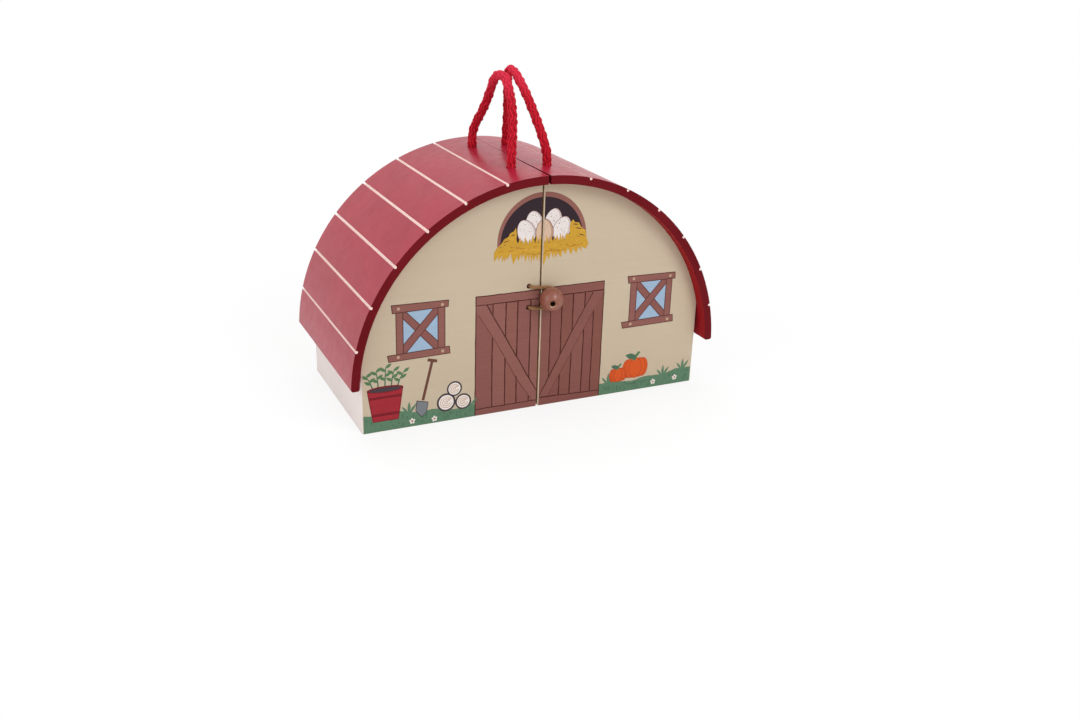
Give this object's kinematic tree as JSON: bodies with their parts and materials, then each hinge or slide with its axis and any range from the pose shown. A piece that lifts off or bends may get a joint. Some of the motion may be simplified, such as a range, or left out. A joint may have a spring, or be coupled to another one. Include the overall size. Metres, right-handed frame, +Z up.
{
  "type": "toy barn with opening halves",
  "caption": "Arched wooden toy barn case split down the middle, hinged at the back to open like a book, with rope carrying loops and an elastic-and-bead closure.",
  "frame": {"origin": "middle of the underside of the closed barn", "axes": "+X along the front to the right, -Y out of the painted front, +Z up"},
  "size_m": [0.3006, 0.1629, 0.2502],
  "materials": {
    "red_roof_paint": "barn red satin paint on bent board, grooves left bare",
    "cream_front_paint": "cream stained plywood with a printed barn front",
    "pale_wall_paint": "pale painted plywood",
    "bare_birch": "bare sanded birch",
    "bead_wood": "brown stained turned wood",
    "red_rope": "braided red cord",
    "tan_elastic": "covered elastic cord",
    "hinge_steel": "zinc plated",
    "screw_steel": "zinc plated"
  },
  "bodies": {
    "right_half": {"right_roof": "red_roof_paint", "right_front_panel": "cream_front_paint", "right_back_panel": "pale_wall_paint", "right_side_wall": "pale_wall_paint", "right_floor": "bare_birch", "right_back_batten": "bare_birch", "right_hinge_screws": "screw_steel", "right_rope_ends": "red_rope", "upper_hinge_right_leaf": "hinge_steel", "lower_hinge_right_leaf": "hinge_steel", "upper_hinge_pin": "hinge_steel", "lower_hinge_pin": "hinge_steel", "closing_bead": "bead_wood", "bead_screw": "screw_steel"},
    "left_half": {"left_roof": "red_roof_paint", "left_front_panel": "cream_front_paint", "left_back_panel": "pale_wall_paint", "left_side_wall": "pale_wall_paint", "left_floor": "bare_birch", "left_back_batten": "bare_birch", "left_hinge_screws": "screw_steel", "left_rope_ends": "red_rope", "upper_hinge_left_leaf": "hinge_steel", "lower_hinge_left_leaf": "hinge_steel", "elastic_ends": "tan_elastic"},
    "right_handle": {"right_rope_handle": "red_rope"},
    "left_handle": {"left_rope_handle": "red_rope"},
    "closing_loop": {"closing_elastic": "tan_elastic"}
  },
  "joints": [
    {"name": "barn_opening", "type": "hinge", "parent": "right_half", "child": "left_half", "pos_m": [0, 0.0775, 0.092], "axis": [0, 0, -1], "range_deg": [0, 180]},
    {"name": "right_handle_swing", "type": "hinge", "parent": "right_half", "child": "right_handle", "pos_m": [0.0145, 0, 0.18737], "axis": [0, 1, 0], "range_deg": [0, 95]},
    {"name": "left_handle_swing", "type": "hinge", "parent": "left_half", "child": "left_handle", "pos_m": [-0.0145, 0, 0.18737], "axis": [0, -1, 0], "range_deg": [0, 95]},
    {"name": "elastic_release", "type": "hinge", "parent": "left_half", "child": "closing_loop", "pos_m": [-0.0092, -0.0665, 0.09075], "axis": [0, 0, -1], "range_deg": [0, 150], "deforming": ["closing_elastic"]}
  ]
}
